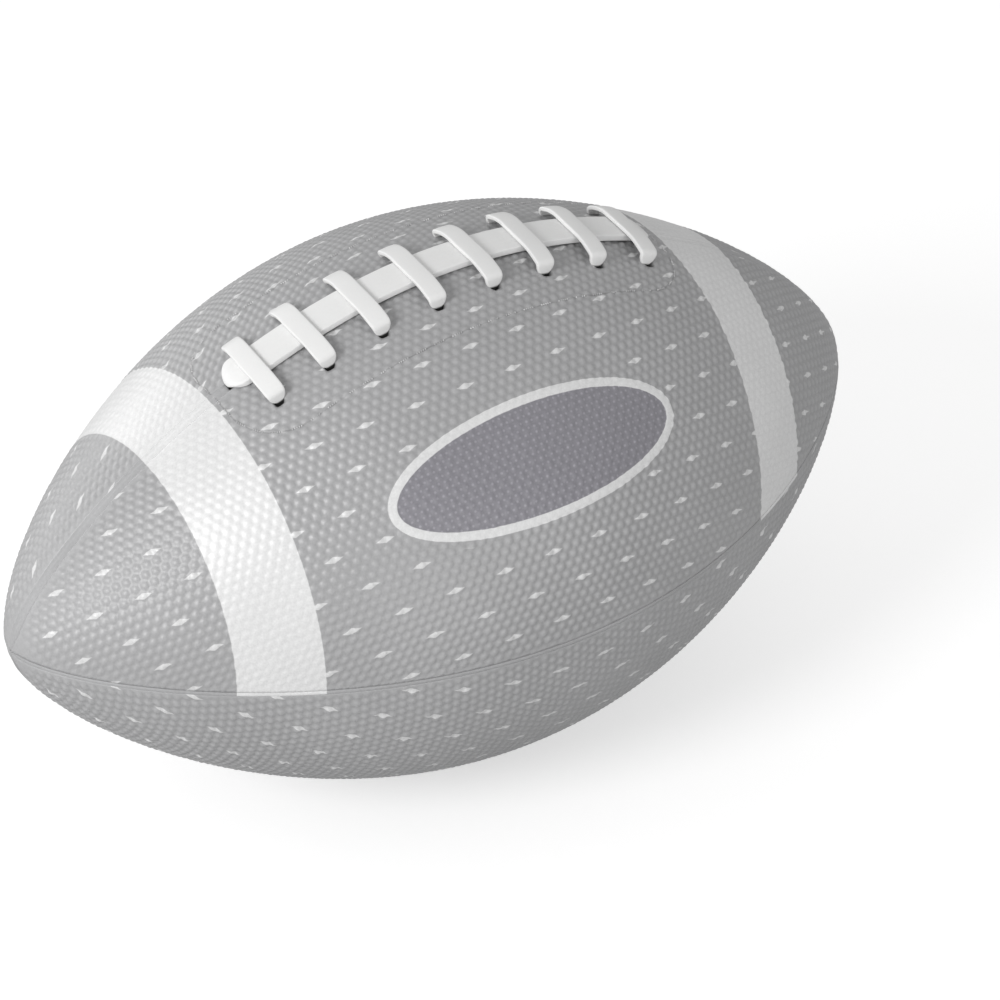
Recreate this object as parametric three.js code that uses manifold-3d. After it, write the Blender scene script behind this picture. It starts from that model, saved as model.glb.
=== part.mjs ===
import * as THREE from 'three';
import { mergeVertices } from 'three/addons/utils/BufferGeometryUtils.js';
import Module from 'manifold-3d';

// American football lying on its lower seam with the lacing straight up.
// Millimetres. X runs along the long axis of the ball, Y across it and Z up. The origin lies on
// the surface that the ball rests on, under the middle of the ball. The front is towards -Y.

// The ball
const BALL_LENGTH = 273;
const BALL_DIAMETER = 155;
// How pointed the ends are, and how much the shoulders draw in
const PROFILE_POWER = 0.64;
const PROFILE_DRAW = 0.16;
// Depth of the flat that the ball's weight presses where it rests
const REST_DEPTH = 0.5;

// Clearance between pieces that touch, and around a lace in its hole
const GAP = 0.3;
const HOLE_CLEARANCE = 0.5;

// Layers
const COVER_THICKNESS = 1.8;
const TONGUE_THICKNESS = 0.8;
const BLADDER_THICKNESS = 0.9;

// Seams. A strip narrows where the panels run together at the tips.
const SEAM_WIDTH = 1.2;
const LACE_SEAM_WIDTH = 3;
const SEAM_RISE = 0.4;
const SEAM_TIP_SHARE = 0.25;
// Radius of the pinhole left where the panels meet at a tip, counted in clearances
const TIP_CLEARANCES = 4;

// Lacing: cross bars over one lengthwise strap
const BAR_COUNT = 8;
const BAR_PITCH = 17.3;
const BAR_WIDTH = 6;
const BAR_THICKNESS = 1.2;
const BAR_SHOULDER = 8.3;
const SHOULDER_ANGLE = THREE.MathUtils.degToRad(20);
const STRAP_WIDTH = 10.6;
const STRAP_THICKNESS = 2;
const STRAP_TAIL = 5.4;
const STRAP_CORNER = 3;
const LACE_BEVEL = 0.3;
const LACE_BEND = 0.7;
const FOOT_LENGTH = 4;
const WINDOW_MARGIN = 4;

// Inflation valve in the lower rear panel
const VALVE_ANGLE = THREE.MathUtils.degToRad(135);
const VALVE_HEAD_RADIUS = 3.2;
const VALVE_FLANGE_RADIUS = 8;
const VALVE_STEM_RADIUS = 4;
const VALVE_STEM_LENGTH = 10;
const VALVE_CORE_RADIUS = 1.6;
const NEEDLE_RADIUS = 0.6;
const VALVE_SINK = 0.4;
const CORE_SINK = 0.3;

// Fineness of the surfaces. The inner layers take every second row and column of the cover.
const ROW_STEP = THREE.MathUtils.degToRad(7.5);
const PANEL_COLUMNS = 12;
const INNER_STRIDE = 2;
const BEND_STEPS = 3;
const SHOULDER_STEPS = 4;
const STRAP_STEPS = 12;
const CORNER_STEPS = 5;
const VALVE_SIDES = 24;

// Derived sizes
const HALF_LENGTH = BALL_LENGTH / 2;
const RADIUS = BALL_DIAMETER / 2;
const CENTRE_HEIGHT = RADIUS - REST_DEPTH;
const QUARTER = Math.PI / 2;
const COLUMN_STEP = QUARTER / PANEL_COLUMNS;
// How far the flat faces of the cover lie inside the true curve
const COLUMN_SAG = RADIUS * (1 - Math.cos(COLUMN_STEP / 2));
const ROW_SAG = RADIUS * ROW_STEP * ROW_STEP * (PROFILE_POWER + PROFILE_DRAW) / 4;
const FACE_SAG = COLUMN_SAG + ROW_SAG;

// Depths below the outer surface, from the outside in
const FOOT_DEPTH = COVER_THICKNESS + GAP + FACE_SAG;
const TONGUE_TOP = FOOT_DEPTH + Math.max(BAR_THICKNESS, STRAP_THICKNESS) + GAP;
const CARCASS_TOP = COVER_THICKNESS + GAP;
const CARCASS_BOTTOM = TONGUE_TOP + TONGUE_THICKNESS;
const BLADDER_TOP = CARCASS_BOTTOM + GAP;
const BLADDER_BOTTOM = BLADDER_TOP + BLADDER_THICKNESS;

// Places of the lacing
const BAR_BEND = BAR_THICKNESS / 2 + LACE_BEND;
const STRAP_BEND = STRAP_THICKNESS / 2 + LACE_BEND;
const BAR_FLAT = STRAP_WIDTH / 2 + GAP;
const BAR_REACH = BAR_FLAT + BAR_SHOULDER;
const LAST_BAR_X = BAR_PITCH * (BAR_COUNT - 1) / 2;
const STRAP_END_X = LAST_BAR_X + STRAP_TAIL;
const STRAP_HOLE_X = STRAP_END_X + STRAP_THICKNESS / 2 + HOLE_CLEARANCE;
const WINDOW_X = STRAP_HOLE_X + WINDOW_MARGIN;
const WINDOW_Y = BAR_REACH + BAR_THICKNESS / 2 + WINDOW_MARGIN;
const HOLE_REACH = CARCASS_BOTTOM + GAP;

const wasm = await Module();
wasm.setup();

// Profile of the ball at a depth below its outer surface. The place along it is an angle from the
// middle, -90 to 90 degrees.
function profile(place, depth) {
  const sine = Math.sin(place);
  const swell = Math.pow(Math.cos(place), 2 * PROFILE_POWER) * (1 - PROFILE_DRAW * sine * sine);
  return { x: (HALF_LENGTH - depth) * sine, r: (RADIUS - depth) * swell };
}

// Slope of the outer profile, as an angle
function slopeAt(place) {
  const step = 0.001;
  const before = profile(place - step, 0);
  const after = profile(place + step, 0);
  return Math.atan2(after.r - before.r, after.x - before.x);
}

function placeAtX(x) {
  return Math.asin(x / HALF_LENGTH);
}

// Place near the right tip where the outer profile has shrunk to a radius
function placeAtRadius(radius) {
  let wide = 0;
  let narrow = QUARTER;
  while (narrow - wide > 1e-6) {
    const middle = (wide + narrow) / 2;
    if (profile(middle, 0).r > radius) {
      wide = middle;
    } else {
      narrow = middle;
    }
  }
  return wide;
}

// Point at a place along the ball and an angle around it, counted from the top to the rear
function shellPoint(place, angle, depth) {
  const at = profile(place, depth);
  return [at.x, at.r * Math.sin(angle), CENTRE_HEIGHT + at.r * Math.cos(angle)];
}

// Rows along the whole ball, from one trimmed tip to the other
function coverRows() {
  const end = placeAtRadius(TIP_CLEARANCES * GAP);
  const inside = Math.ceil(end / ROW_STEP) - 1;
  const rows = [-end];
  for (let i = -inside; i <= inside; i += 1) {
    rows.push(i * ROW_STEP);
  }
  rows.push(end);
  return rows;
}

function rowsBetween(from, to) {
  const inside = coverRows().filter((place) => place > from + 0.01 && place < to - 0.01);
  return [from, ...inside, to];
}

// Closed solid between an outer and an inner depth, over rows and columns of the ball's surface
function shellPatch(rows, columns, angleAt, outerDepth, innerDepth) {
  const positions = [];
  const faces = [];
  const across = columns + 1;
  const layer = rows.length * across;
  for (const depthAt of [outerDepth, innerDepth]) {
    for (const place of rows) {
      for (let j = 0; j <= columns; j += 1) {
        const share = j / columns;
        positions.push(...shellPoint(place, angleAt(place, share), depthAt(share)));
      }
    }
  }
  const quad = (a, b, c, d) => faces.push(a, b, c, a, c, d);
  const last = rows.length - 1;
  for (let i = 0; i < last; i += 1) {
    for (let j = 0; j < columns; j += 1) {
      const a = i * across + j;
      const b = a + across;
      quad(a, b, b + 1, a + 1);
      quad(layer + a, layer + a + 1, layer + b + 1, layer + b);
    }
    const low = i * across;
    const high = low + columns;
    quad(low, layer + low, layer + low + across, low + across);
    quad(high, high + across, layer + high + across, layer + high);
  }
  for (let j = 0; j < columns; j += 1) {
    const near = j;
    const far = last * across + j;
    quad(near, near + 1, layer + near + 1, layer + near);
    quad(far, layer + far, layer + far + 1, far + 1);
  }
  const geometry = new THREE.BufferGeometry();
  geometry.setAttribute('position', new THREE.Float32BufferAttribute(positions, 3));
  geometry.setIndex(faces);
  return geometry;
}

function toSolid(geometry) {
  const plain = geometry.clone();
  plain.deleteAttribute('normal');
  plain.deleteAttribute('uv');
  const merged = mergeVertices(plain, 0.0001);
  const index = merged.index.array;
  const faces = [];
  for (let i = 0; i < index.length; i += 3) {
    const [a, b, c] = [index[i], index[i + 1], index[i + 2]];
    if (a !== b && b !== c && c !== a) {
      faces.push(a, b, c);
    }
  }
  const vertProperties = new Float32Array(merged.attributes.position.array);
  const triVerts = new Uint32Array(faces);
  return new wasm.Manifold(new wasm.Mesh({ numProp: 3, vertProperties, triVerts }));
}

function toGeometry(solid) {
  const mesh = solid.getMesh();
  const geometry = new THREE.BufferGeometry();
  const positions = new Float32Array(mesh.numVert * 3);
  for (let i = 0; i < mesh.numVert; i += 1) {
    for (let k = 0; k < 3; k += 1) {
      positions[i * 3 + k] = mesh.vertProperties[i * mesh.numProp + k];
    }
  }
  geometry.setAttribute('position', new THREE.BufferAttribute(positions, 3));
  geometry.setIndex(new THREE.BufferAttribute(new Uint32Array(mesh.triVerts), 1));
  geometry.computeVertexNormals();
  return geometry;
}

function cutAway(geometry, cutters) {
  let solid = toSolid(geometry);
  for (const cutter of cutters) {
    solid = solid.subtract(toSolid(cutter));
  }
  return toGeometry(solid);
}

// Full round solid bounded by one depth, in the coarse rows and columns of the inner layers
function roundSolid(depth) {
  const step = ROW_STEP * INNER_STRIDE;
  const inside = Math.round(QUARTER / step) - 1;
  const points = [new THREE.Vector2(0, -(HALF_LENGTH - depth))];
  for (let i = -inside; i <= inside; i += 1) {
    const at = profile(i * step, depth);
    points.push(new THREE.Vector2(at.r, at.x));
  }
  points.push(new THREE.Vector2(0, HALF_LENGTH - depth));
  const geometry = new THREE.LatheGeometry(points, PANEL_COLUMNS * 4 / INNER_STRIDE);
  geometry.rotateZ(-QUARTER);
  geometry.translate(0, 0, CENTRE_HEIGHT);
  return geometry;
}

// Cylinder along the valve, from outside the ball to a depth below the surface
function valveHole(radius, depth) {
  const length = depth + REST_DEPTH + COVER_THICKNESS;
  const geometry = new THREE.CylinderGeometry(radius, radius, length, VALVE_SIDES);
  geometry.translate(0, RADIUS - depth + length / 2, 0);
  return onValveAxis(geometry);
}

function onValveAxis(geometry) {
  const out = new THREE.Vector3(0, Math.sin(VALVE_ANGLE), Math.cos(VALVE_ANGLE));
  const turn = new THREE.Quaternion().setFromUnitVectors(new THREE.Vector3(0, 1, 0), out);
  geometry.applyQuaternion(turn);
  geometry.translate(0, 0, CENTRE_HEIGHT);
  return geometry;
}

// Turned piece on the valve axis from pairs of radius and depth, closed around its bore
function valvePiece(pairs) {
  const points = [...pairs, pairs[0]].map(([r, depth]) => new THREE.Vector2(r, RADIUS - depth));
  return onValveAxis(new THREE.LatheGeometry(points.reverse(), VALVE_SIDES));
}

// Frame on top of the ball at a place: along the profile, across the ball and out of the surface
function topFrame(x) {
  const place = placeAtX(x);
  const slope = slopeAt(place);
  const at = profile(place, 0);
  return {
    origin: new THREE.Vector3(at.x, 0, CENTRE_HEIGHT + at.r),
    along: new THREE.Vector3(Math.cos(slope), 0, Math.sin(slope)),
    across: new THREE.Vector3(0, 1, 0),
    out: new THREE.Vector3(-Math.sin(slope), 0, Math.cos(slope)),
    crossRadius: at.r / Math.cos(slope),
  };
}

// Box cutter standing in a frame on top of the ball
function topHole(frame, alongSize, acrossSize, acrossPlace) {
  const geometry = new THREE.BoxGeometry(alongSize, acrossSize, HOLE_REACH * 2);
  geometry.translate(0, acrossPlace, 0);
  const place = new THREE.Matrix4().makeBasis(frame.along, frame.across, frame.out);
  place.setPosition(frame.origin);
  return geometry.applyMatrix4(place);
}

// Band of one thickness around a line of points, as a flat outline
function bandShape(line, thickness) {
  const left = [];
  const right = [];
  line.forEach((point, i) => {
    const before = line[Math.max(i - 1, 0)];
    const after = line[Math.min(i + 1, line.length - 1)];
    const run = new THREE.Vector2().subVectors(after, before).normalize();
    const side = new THREE.Vector2(-run.y, run.x).multiplyScalar(thickness / 2);
    left.push(point.clone().add(side));
    right.push(point.clone().sub(side));
  });
  return new THREE.Shape([...right, ...left.reverse()]);
}

function extrudeBand(shape, width) {
  const geometry = new THREE.ExtrudeGeometry(shape, {
    depth: width - 2 * LACE_BEVEL,
    bevelEnabled: true,
    bevelThickness: LACE_BEVEL,
    bevelSize: LACE_BEVEL,
    bevelOffset: -LACE_BEVEL,
    bevelSegments: 1,
    steps: 1,
  });
  geometry.translate(0, 0, LACE_BEVEL - width / 2);
  return geometry;
}

// A bend of a lace around a centre, from one direction to another at right angles to it. It starts
// at an angle after the first direction and leaves out its first point.
function bendPoints(centre, radius, from, to, startAngle = 0) {
  const points = [];
  for (let i = 1; i <= BEND_STEPS; i += 1) {
    const turn = startAngle + (QUARTER - startAngle) * i / BEND_STEPS;
    const point = centre.clone();
    point.addScaledVector(from, radius * Math.cos(turn));
    point.addScaledVector(to, radius * Math.sin(turn));
    points.push(point);
  }
  return points;
}

// Middle line of one half of a cross bar: flat over the strap, down over a shoulder that steepens,
// through the hole and back under the cover as a foot
function barLine(frame) {
  const radius = frame.crossRadius;
  const crown = GAP + STRAP_THICKNESS + GAP + BAR_THICKNESS / 2;
  const bendStart = BAR_REACH - BAR_BEND * (1 - Math.sin(SHOULDER_ANGLE));
  const run = bendStart - BAR_FLAT;
  const drop = run * Math.tan(SHOULDER_ANGLE) / 2;
  const line = [];
  for (let i = 0; i <= SHOULDER_STEPS; i += 1) {
    const share = i / SHOULDER_STEPS;
    line.push(new THREE.Vector2(BAR_FLAT + run * share, crown - drop * share * share));
  }
  const up = new THREE.Vector2(0, 1);
  const outward = new THREE.Vector2(1, 0);
  const down = new THREE.Vector2(0, -1);
  const bendY = BAR_REACH - BAR_BEND;
  const topCentre = new THREE.Vector2(bendY, crown - drop - BAR_BEND * Math.cos(SHOULDER_ANGLE));
  line.push(...bendPoints(topCentre, BAR_BEND, up, outward, SHOULDER_ANGLE));
  const footRadius = radius - FOOT_DEPTH - BAR_THICKNESS / 2;
  const footHeight = (y) => Math.sqrt(footRadius ** 2 - y * y) - radius;
  const footCentre = new THREE.Vector2(bendY, footHeight(bendY) + BAR_BEND);
  line.push(new THREE.Vector2(BAR_REACH, footCentre.y));
  line.push(...bendPoints(footCentre, BAR_BEND, outward, down));
  const footEnd = bendY - FOOT_LENGTH;
  line.push(new THREE.Vector2(footEnd, footHeight(footEnd)));
  return line;
}

// Both halves of a line from one half, in which a point on the middle is kept once
function mirrored(line) {
  const other = line.filter((point) => point.x > GAP).reverse();
  return [...other.map((point) => new THREE.Vector2(-point.x, point.y)), ...line];
}

function laceBar(frame) {
  const geometry = extrudeBand(bandShape(mirrored(barLine(frame)), BAR_THICKNESS), BAR_WIDTH);
  const place = new THREE.Matrix4().makeBasis(frame.across, frame.out, frame.along);
  place.setPosition(frame.origin);
  return geometry.applyMatrix4(place);
}

// Middle line of one half of the strap, from the middle of the ball to the foot beyond the bars
function strapLine() {
  const line = [];
  const bendX = STRAP_END_X - STRAP_BEND;
  const flat = (vector) => new THREE.Vector2(vector.x, vector.z);
  for (let i = 0; i <= STRAP_STEPS; i += 1) {
    const frame = topFrame(bendX * i / STRAP_STEPS);
    const point = flat(frame.origin).addScaledVector(flat(frame.out), GAP + STRAP_THICKNESS / 2);
    line.push(point);
  }
  const end = topFrame(bendX);
  const out = flat(end.out);
  const along = flat(end.along);
  const inward = out.clone().negate();
  const topCentre = line[line.length - 1].clone().addScaledVector(out, -STRAP_BEND);
  line.push(...bendPoints(topCentre, STRAP_BEND, out, along));
  const footCentre = flat(end.origin);
  footCentre.addScaledVector(out, STRAP_BEND - FOOT_DEPTH - STRAP_THICKNESS / 2);
  line.push(footCentre.clone().addScaledVector(along, STRAP_BEND));
  line.push(...bendPoints(footCentre, STRAP_BEND, along, inward));
  line.push(line[line.length - 1].clone().addScaledVector(along, -FOOT_LENGTH));
  return line;
}

// Strap with its ends rounded as seen from above
function laceStrap() {
  const line = mirrored(strapLine());
  const band = extrudeBand(bandShape(line, STRAP_THICKNESS), STRAP_WIDTH);
  band.rotateX(QUARTER);
  const reach = Math.max(...line.map((point) => point.x)) + STRAP_THICKNESS / 2;
  const cornerX = reach - STRAP_CORNER;
  const cornerY = STRAP_WIDTH / 2 - STRAP_CORNER;
  const outline = new THREE.Shape();
  outline.absarc(cornerX, -cornerY, STRAP_CORNER, -QUARTER, 0);
  outline.absarc(cornerX, cornerY, STRAP_CORNER, 0, QUARTER);
  outline.absarc(-cornerX, cornerY, STRAP_CORNER, QUARTER, 2 * QUARTER);
  outline.absarc(-cornerX, -cornerY, STRAP_CORNER, 2 * QUARTER, 3 * QUARTER);
  const plan = new THREE.ExtrudeGeometry(outline, {
    depth: BALL_DIAMETER,
    bevelEnabled: false,
    curveSegments: CORNER_STEPS,
  });
  plan.translate(0, 0, CENTRE_HEIGHT);
  return toGeometry(toSolid(band).intersect(toSolid(plan)));
}

// Half the width of a seam strip, narrowed near the tips
function seamHalf(place, width) {
  return Math.min(width / 2, SEAM_TIP_SHARE * profile(place, 0).r);
}

function seamStrip(rows, angle, width) {
  const angleAt = (place, share) => {
    const half = seamHalf(place, width) / profile(place, 0).r;
    return angle + half * (2 * share - 1);
  };
  const crest = (share) => -SEAM_RISE * Math.sin(Math.PI * share);
  return shellPatch(rows, 2, angleAt, crest, () => COVER_THICKNESS);
}

function coverPanel(startAngle, startWidth, endWidth) {
  const edge = (place, width) => (seamHalf(place, width) + GAP) / profile(place, 0).r;
  const angleAt = (place, share) => {
    const start = startAngle + edge(place, startWidth);
    const end = startAngle + QUARTER - edge(place, endWidth);
    return start + (end - start) * share;
  };
  return shellPatch(coverRows(), PANEL_COLUMNS, angleAt, () => 0, () => COVER_THICKNESS);
}

// Everything below the resting surface
function underFloor() {
  const geometry = new THREE.BoxGeometry(BALL_LENGTH, BALL_DIAMETER, BALL_DIAMETER);
  geometry.translate(0, 0, -BALL_DIAMETER / 2);
  return geometry;
}

function lacingWindow(clearance) {
  const width = 2 * (WINDOW_X - clearance);
  const depth = 2 * (WINDOW_Y - clearance);
  const geometry = new THREE.BoxGeometry(width, depth, BALL_DIAMETER);
  geometry.translate(0, 0, CENTRE_HEIGHT + BALL_DIAMETER / 2);
  return geometry;
}

function barFrames() {
  const frames = [];
  for (let i = 0; i < BAR_COUNT; i += 1) {
    frames.push(topFrame(i * BAR_PITCH - LAST_BAR_X));
  }
  return frames;
}

// Holes that the lacing passes through on one side of the ball, -1 front and 1 rear
function laceHoles(side) {
  const alongBar = BAR_WIDTH + 2 * HOLE_CLEARANCE;
  const barHole = BAR_THICKNESS + 2 * HOLE_CLEARANCE;
  const strapHole = STRAP_THICKNESS + 2 * HOLE_CLEARANCE;
  const holes = barFrames().map((frame) => topHole(frame, alongBar, barHole, side * BAR_REACH));
  for (const end of [-1, 1]) {
    const frame = topFrame(end * (STRAP_END_X - STRAP_BEND));
    frame.origin.addScaledVector(frame.along, end * STRAP_BEND);
    holes.push(topHole(frame, strapHole, STRAP_WIDTH + 2 * HOLE_CLEARANCE, 0));
  }
  return holes;
}

const cover = { color: 0xa3a3a5, roughness: 0.55, metalness: 0 };
const seam = { color: 0xa0a0a2, roughness: 0.5, metalness: 0 };
const lace = { color: 0xf0f0f0, roughness: 0.5, metalness: 0 };
const cloth = { color: 0xc9c2b0, roughness: 0.9, metalness: 0 };
const bladderRubber = { color: 0x1d1d1f, roughness: 0.6, metalness: 0 };
const valveRubber = { color: 0x2a2a2c, roughness: 0.6, metalness: 0 };

const football = new THREE.Group();
football.name = 'football';

function add(name, geometry, look) {
  const mesh = new THREE.Mesh(geometry, new THREE.MeshStandardMaterial(look));
  mesh.name = name;
  football.add(mesh);
}

// Cover panels, named by where they lie
const headHole = valveHole(VALVE_HEAD_RADIUS + GAP, HOLE_REACH);
const topFront = coverPanel(-QUARTER, SEAM_WIDTH, LACE_SEAM_WIDTH);
const topRear = coverPanel(0, LACE_SEAM_WIDTH, SEAM_WIDTH);
const bottomRear = coverPanel(QUARTER, SEAM_WIDTH, SEAM_WIDTH);
const bottomFront = coverPanel(2 * QUARTER, SEAM_WIDTH, SEAM_WIDTH);
add('cover_panel_top_front', cutAway(topFront, laceHoles(-1)), cover);
add('cover_panel_top_rear', cutAway(topRear, laceHoles(1)), cover);
add('cover_panel_bottom_rear', cutAway(bottomRear, [headHole, underFloor()]), cover);
add('cover_panel_bottom_front', cutAway(bottomFront, [underFloor()]), cover);

// Seam strips between the panels. The strip on top stops at the lacing.
const bottomStrip = seamStrip(coverRows(), 2 * QUARTER, SEAM_WIDTH);
const stripStart = placeAtX(STRAP_HOLE_X + HOLE_CLEARANCE);
const stripEnd = placeAtRadius(TIP_CLEARANCES * GAP);
add('seam_strip_front', seamStrip(coverRows(), -QUARTER, SEAM_WIDTH), seam);
add('seam_strip_rear', seamStrip(coverRows(), QUARTER, SEAM_WIDTH), seam);
add('seam_strip_bottom', cutAway(bottomStrip, [underFloor()]), seam);
const leftRows = rowsBetween(-stripEnd, -stripStart);
const rightRows = rowsBetween(stripStart, stripEnd);
add('seam_strip_top_left', seamStrip(leftRows, 0, LACE_SEAM_WIDTH), seam);
add('seam_strip_top_right', seamStrip(rightRows, 0, LACE_SEAM_WIDTH), seam);

// Carcass under the cover, with the lacing window and the seat of the valve
const flangeHole = valveHole(VALVE_FLANGE_RADIUS + GAP, BLADDER_BOTTOM);
const carcassCuts = [roundSolid(CARCASS_BOTTOM), lacingWindow(0), flangeHole];
add('carcass', cutAway(roundSolid(CARCASS_TOP), carcassCuts), cloth);

// Tongue that closes the lacing window over the bladder
const tongueEnd = Math.asin(WINDOW_X / (HALF_LENGTH - CARCASS_BOTTOM)) + ROW_STEP;
const tongueRows = coverRows().filter((place) => Math.abs(place) < tongueEnd);
const tongueColumns = Math.round(PANEL_COLUMNS * 2 / 3);
const tongueAngle = (place, share) => (share - 0.5) * tongueColumns * COLUMN_STEP;
const tongueTop = () => TONGUE_TOP;
const tongueBottom = () => CARCASS_BOTTOM;
const tonguePatch = shellPatch(tongueRows, tongueColumns, tongueAngle, tongueTop, tongueBottom);
const tongue = toSolid(tonguePatch).intersect(toSolid(lacingWindow(GAP)));
add('lace_tongue', toGeometry(tongue), cloth);

// Bladder, open where the valve stem goes in
const stemHole = valveHole(VALVE_STEM_RADIUS + GAP, BLADDER_BOTTOM + BLADDER_THICKNESS + FACE_SAG * 4);
const bladder = cutAway(roundSolid(BLADDER_TOP), [roundSolid(BLADDER_BOTTOM), stemHole]);
add('bladder', bladder, bladderRubber);

// Valve: a flanged rubber body and the core that the needle goes through
const innerRadius = RADIUS - COVER_THICKNESS;
const flangeDrop = innerRadius - Math.sqrt(innerRadius ** 2 - VALVE_FLANGE_RADIUS ** 2);
const flangeTop = FOOT_DEPTH + flangeDrop;
const stemEnd = CARCASS_BOTTOM + VALVE_STEM_LENGTH;
const boreRadius = VALVE_CORE_RADIUS + GAP;
const valveBody = valvePiece([
  [boreRadius, VALVE_SINK],
  [VALVE_HEAD_RADIUS, VALVE_SINK],
  [VALVE_HEAD_RADIUS, flangeTop],
  [VALVE_FLANGE_RADIUS, flangeTop],
  [VALVE_FLANGE_RADIUS, CARCASS_BOTTOM],
  [VALVE_STEM_RADIUS, CARCASS_BOTTOM],
  [VALVE_STEM_RADIUS, stemEnd],
  [boreRadius, stemEnd],
]);
const valveCore = valvePiece([
  [NEEDLE_RADIUS, VALVE_SINK + CORE_SINK],
  [VALVE_CORE_RADIUS, VALVE_SINK + CORE_SINK],
  [VALVE_CORE_RADIUS, stemEnd - CORE_SINK],
  [NEEDLE_RADIUS, stemEnd - CORE_SINK],
]);
add('valve_body', toGeometry(toSolid(valveBody)), valveRubber);
add('valve_core', toGeometry(toSolid(valveCore)), valveRubber);

// Lacing
add('lace_strap', laceStrap(), lace);
barFrames().forEach((frame, i) => {
  add(`lace_bar_${i + 1}`, toGeometry(toSolid(laceBar(frame))), lace);
});

export default football;
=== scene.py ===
import math

import bpy
import numpy as np
from mathutils import Matrix, Vector

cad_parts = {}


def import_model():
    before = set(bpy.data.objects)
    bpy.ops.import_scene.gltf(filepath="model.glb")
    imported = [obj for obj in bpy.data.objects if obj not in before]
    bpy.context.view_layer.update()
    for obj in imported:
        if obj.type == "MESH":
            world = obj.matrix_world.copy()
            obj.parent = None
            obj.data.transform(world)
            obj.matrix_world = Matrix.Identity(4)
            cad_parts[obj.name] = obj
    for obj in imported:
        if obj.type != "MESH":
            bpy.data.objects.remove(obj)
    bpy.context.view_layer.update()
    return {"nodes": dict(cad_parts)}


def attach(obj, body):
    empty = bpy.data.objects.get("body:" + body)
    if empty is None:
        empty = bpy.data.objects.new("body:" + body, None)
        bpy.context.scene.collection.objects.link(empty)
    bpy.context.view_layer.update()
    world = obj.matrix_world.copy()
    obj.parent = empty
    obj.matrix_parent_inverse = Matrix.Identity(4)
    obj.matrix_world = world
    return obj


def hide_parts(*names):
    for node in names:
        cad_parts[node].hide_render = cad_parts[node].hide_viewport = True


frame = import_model()

MM = 0.001
QUARTER = math.pi / 2

# The ball, in millimetres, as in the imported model
HALF_LENGTH = 136.5
RADIUS = 77.5
PROFILE_POWER = 0.64
PROFILE_DRAW = 0.16
CENTRE_HEIGHT = 77.0
COVER_THICKNESS = 1.8
SEAM_WIDTH = 1.2
LACE_SEAM_WIDTH = 3.0
SEAM_TIP_SHARE = 0.25
GAP = 0.3
TIP_RADIUS = 0.3
# Height of the inner faces above the floor where the ball is pressed flat
FLAT_INNER_HEIGHT = 0.6
# Stands for a distance to a mark that a point is nowhere near
FAR = 99.0

# Seams: gap beside a bead and beside a strip, below 0 where they overlap, the radius of the ball from which
# it is full, how far and how wide the panels' edges fall off, and the shape of the beads and of the ridge
# on the strips
SEAM_GROOVE = 0.035
LACE_SEAM_GROOVE = -0.02
GROOVE_FULL_RADIUS = 6.0
EDGE_FALL = 0.05
EDGE_FALL_WIDTH = 0.7
BEAD_STEP = 0.9
BEAD_RISE = 0.22
BEAD_DIP = 0.05
RIDGE_RISE = 0.10
RIDGE_SHARE = 0.24

# Pebbles: pitch along a row, rows across, grid steps inside one pebble, and the dome. On panels whose
# rows run around the ball, the grid has the same number of steps both ways
PEBBLE_PITCH = 2.97
PEBBLE_ROW = PEBBLE_PITCH * math.sqrt(3) / 2
STEPS_ALONG = 6
STEPS_ACROSS = 4
TURNED_STEPS = 5
PEBBLE_RADIUS = 1.32
PEBBLE_POWER = 2.0
PEBBLE_HEIGHT = 0.50
PEBBLE_SINK = 0.2
PEBBLE_MEAN = 0.55
# A grid line nearer than this share of a step to a panel's edge or a hole's edge moves onto it
EDGE_SNAP = 0.4
HOLE_SNAP = 0.49
# Share of the pebbles' relief under the paint of the two stripes, on the top rear panel and inside the
# lacing's outline, and what is added to it on the lower panels over a length towards the left tip
STRIPE_RELIEF = 0.45
STRIPE_RIGHT_RELIEF = 0.25
REAR_RELIEF = 0.8
LACING_RELIEF = 0.92
LOWER_LEFT_RELIEF = 0.3
LOWER_LEFT_RANGE = (60.0, 100.0)
# The relief fades over these distances from a panel's edge and from a hole, over these radii of the ball
# at its left and right tip, and over this distance across the lacing's outline
EDGE_FADE = (0.3, 1.9)
HOLE_FADE = (0.2, 1.6)
LEFT_TIP_FADE = (3.0, 13.0)
RIGHT_TIP_FADE = (6.0, 24.0)
OUTLINE_FADE = (-8.0, 2.0)
# Depth of the holes and of their edges, and columns of the panels' inner faces
PIT_DEPTH = 1.55
PIT_EDGE_DEPTH = 0.05
INNER_COLUMNS = 12

# Lacing: cross bars, lengthwise strap with its rounded ends
BAR_COUNT = 8
BAR_PITCH = 17.3
BAR_HALF_WIDTH = 2.88
BAR_TIP_HALF_WIDTH = 1.45
BAR_THICKNESS = 1.2
BAR_CROWN = 3.12
BAR_FLAT = 5.0
BAR_TIP_LENGTH = 1.9
BAR_TIP_DEPTH = 1.5
BAR_EDGE_RADIUS = 0.32
BAR_TIP_EDGE_RADIUS = 0.62
LACE_CROWN = 0.10
BAR_REACH = 13.9
BAR_REAR_REACH = 12.9
BAR_BEND = 1.2
SHOULDER_ANGLE = 18.0
LEG_DEPTH = 3.3
# Each bar lies a little off its even place along the ball, and turned by a degree or two
BAR_SHIFT = (1.55, 0.0, -0.05, 0.4, 1.0, 0.9, 1.1, 0.4)
BAR_TURN = (-2.2, -0.9, -1.1, -0.8, 0.0, -1.8, -1.9, -0.5)
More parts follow.
